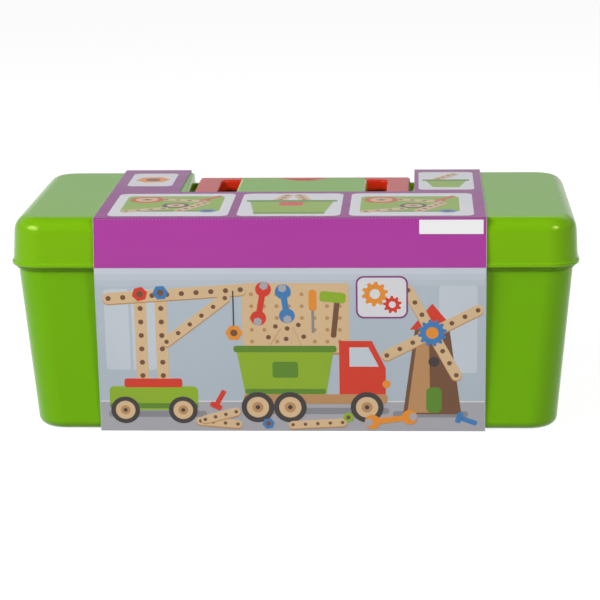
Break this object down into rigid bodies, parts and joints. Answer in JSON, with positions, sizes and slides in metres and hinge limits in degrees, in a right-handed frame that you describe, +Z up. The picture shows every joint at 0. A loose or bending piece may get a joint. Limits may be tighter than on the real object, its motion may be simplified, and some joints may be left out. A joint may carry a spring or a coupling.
{
  "type": "toy tool box",
  "caption": "Toy tool box: tapered tub, back-hinged lid with a sunk folding handle, rocking front latch, and a printed card sleeve that slides off.",
  "frame": {"origin": "on the ground under the middle of the box", "axes": "+X along the box to the right, +Y to the hinge side at the back, +Z up"},
  "size_m": [0.33, 0.1786, 0.1297],
  "materials": {
    "tub": "semi-gloss lime green",
    "lid": "semi-gloss lime green",
    "handle": "semi-gloss red",
    "latch": "semi-gloss red",
    "pin": "plain steel wire",
    "card": "printed and coated, purple over pale blue",
    "paper": "blank white"
  },
  "bodies": {
    "box": {"tub": "tub", "hinge_pin_left": "pin", "hinge_pin_right": "pin"},
    "lid": {"lid": "lid"},
    "handle": {"handle": "handle"},
    "latch": {"latch": "latch"},
    "sleeve": {"card_sleeve": "card", "blank_label": "paper"}
  },
  "joints": [
    {"name": "lid_hinge", "type": "hinge", "parent": "box", "child": "lid", "pos_m": [0, 0.08629, 0.0945], "axis": [-1, 0, 0], "range_deg": [0, 105], "deforming": ["card_sleeve", "blank_label"]},
    {"name": "handle_hinge", "type": "hinge", "parent": "lid", "child": "handle", "pos_m": [0, 0.0105, 0.1225], "axis": [1, 0, 0], "range_deg": [0, 95]},
    {"name": "latch_pivot", "type": "hinge", "parent": "box", "child": "latch", "pos_m": [0, -0.08575, 0.096], "axis": [-1, 0, 0], "range_deg": [0, 2.8]},
    {"name": "sleeve_slide", "type": "slide", "parent": "box", "child": "sleeve", "axis": [1, 0, 0], "range_m": [0, 0.3]}
  ]
}
